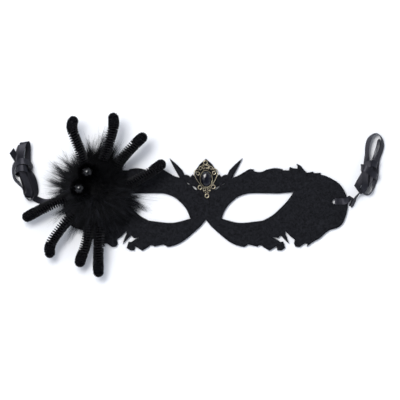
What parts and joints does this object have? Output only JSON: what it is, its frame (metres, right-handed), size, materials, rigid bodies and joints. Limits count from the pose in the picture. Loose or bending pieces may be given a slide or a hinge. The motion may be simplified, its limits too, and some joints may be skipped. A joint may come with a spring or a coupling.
{
  "type": "spider half mask",
  "caption": "Black felt half mask with feathered edges, a fur and chenille spider over one eye, a brass filigree crest with a black stone, and ribbon ties.",
  "frame": {"origin": "on the underside of the felt, under the bridge of the nose, on the line that the felt is symmetric about", "axes": "+X to the mask's right as seen from its front, +Y towards the brow, +Z out of the front, away from the table it lies on"},
  "size_m": [0.2992, 0.1316, 0.0353],
  "materials": {
    "felt": "matt black felt with a fine mottled nap",
    "fur": "long soft black fur, grey where single hairs catch the light",
    "chenille": "black chenille pile in rows, velvety at the tips",
    "bead": "black, polished",
    "brass": "antique brass, pale on the high wires and dark in the recesses",
    "stone": "black faceted stone, polished",
    "ribbon": "black satin ribbon with a grey-blue sheen"
  },
  "bodies": {
    "root": {"felt_mask": "felt", "fur_pompom": "fur", "leg_1": "chenille", "leg_2": "chenille", "leg_3": "chenille", "leg_4": "chenille", "leg_5": "chenille", "leg_6": "chenille", "leg_7": "chenille", "leg_8": "chenille", "eye_bead_upper": "bead", "eye_bead_lower": "bead", "brass_filigree_setting": "brass", "black_faceted_stone": "stone", "ribbon_lead_right": "ribbon", "ribbon_bundle_right": "ribbon", "ribbon_lead_left": "ribbon", "ribbon_bundle_left": "ribbon"}
  },
  "joints": []
}
